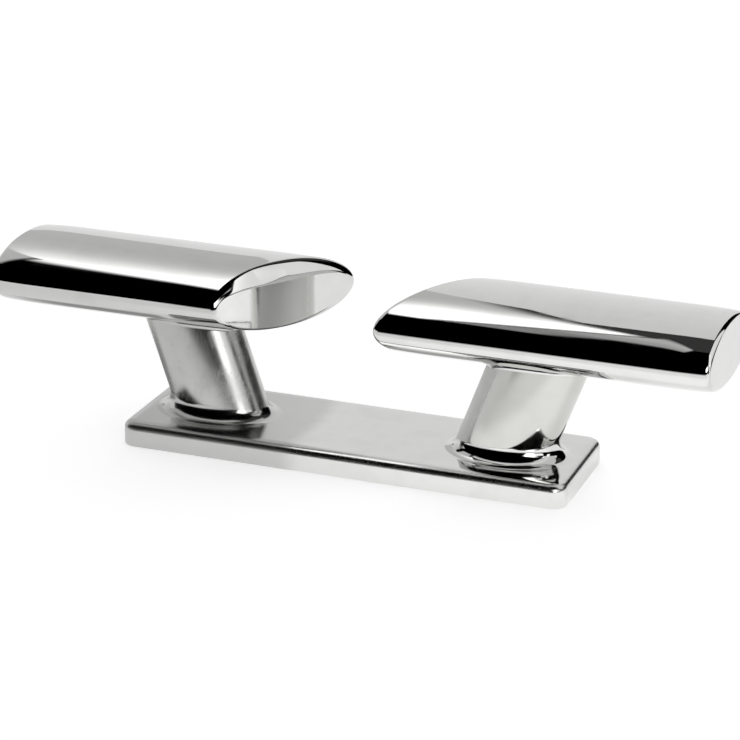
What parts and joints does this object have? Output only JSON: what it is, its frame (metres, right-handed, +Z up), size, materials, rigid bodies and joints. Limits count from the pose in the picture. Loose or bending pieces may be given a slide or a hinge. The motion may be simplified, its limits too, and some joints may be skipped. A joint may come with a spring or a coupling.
{
  "type": "twin-horn mooring cleat",
  "caption": "Mooring cleat: rounded rectangular base plate with outward-leaning stanchions under oval horns whose facing ends are cut at a slant, bolted from below.",
  "frame": {"origin": "on the deck, at the centre of the base plate's underside", "axes": "+Z up from the deck; X along the cleat, with the left horn towards -X; the cleat maps onto itself when turned 180 degrees about Z"},
  "size_m": [0.3028, 0.0612, 0.0781],
  "materials": {
    "polished_plate": "polished",
    "polished_horn": "polished",
    "satin_stanchion": "polished",
    "polished_weld": "polished"
  },
  "bodies": {
    "root": {"base_plate": "polished_plate", "stanchion_left": "satin_stanchion", "horn_left": "polished_horn", "foot_weld_left": "polished_weld", "head_weld_left": "polished_weld", "stanchion_right": "satin_stanchion", "horn_right": "polished_horn", "foot_weld_right": "polished_weld", "head_weld_right": "polished_weld"}
  },
  "joints": []
}
